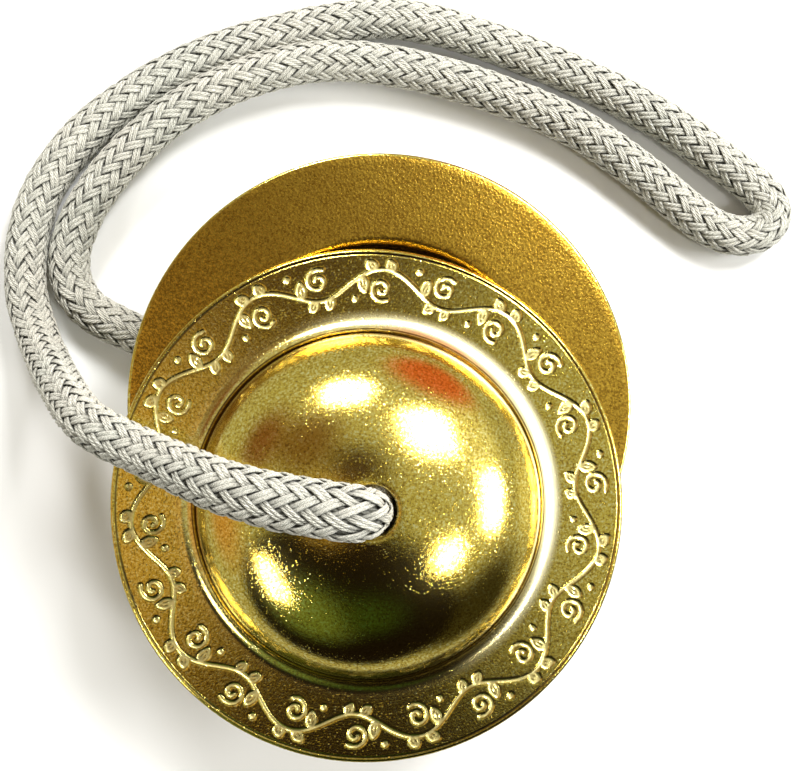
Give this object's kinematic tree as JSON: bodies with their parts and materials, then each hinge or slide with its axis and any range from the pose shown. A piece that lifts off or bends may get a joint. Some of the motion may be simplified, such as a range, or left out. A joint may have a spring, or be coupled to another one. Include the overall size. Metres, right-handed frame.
{
  "type": "finger cymbals",
  "caption": "Round domed brass hand cymbals laid face to face, with ornamented rims, joined through their dome holes by a folded braided cotton cord with stopper knots.",
  "frame": {"origin": "midway between the two cymbals' axes, in the plane where their playing faces meet; this is the centre of the two cymbals' box, without the cord", "axes": "+Z runs out through the upper cymbal's dome, +Y points from the upper cymbal's axis towards the lower cymbal's, +X is to the right of that"},
  "size_m": [0.1228, 0.1128, 0.0478],
  "materials": {
    "upper_brass": "polished dome and rim with engraved ornament",
    "lower_brass": "polished outside, fine-grained playing face",
    "cord": "undyed braided cotton"
  },
  "bodies": {
    "cord": {"cord": "cord", "lower_knot": "cord"},
    "lower_cymbal": {"lower_cymbal": "lower_brass"},
    "upper_knot": {"upper_knot": "cord"},
    "upper_cymbal": {"upper_cymbal": "upper_brass"}
  },
  "joints": [
    {"name": "lower_swivel", "type": "hinge", "parent": "cord", "child": "lower_cymbal", "pos_m": [0.0009, 0.0069, 0], "axis": [0, 0, 1], "continuous": true},
    {"name": "clap", "type": "slide", "parent": "cord", "child": "upper_knot", "axis": [0, 0, 1], "range_m": [0, 0.03], "deforming": ["cord"]},
    {"name": "upper_swivel", "type": "hinge", "parent": "upper_knot", "child": "upper_cymbal", "pos_m": [-0.0009, -0.0069, 0], "axis": [0, 0, 1], "continuous": true}
  ]
}
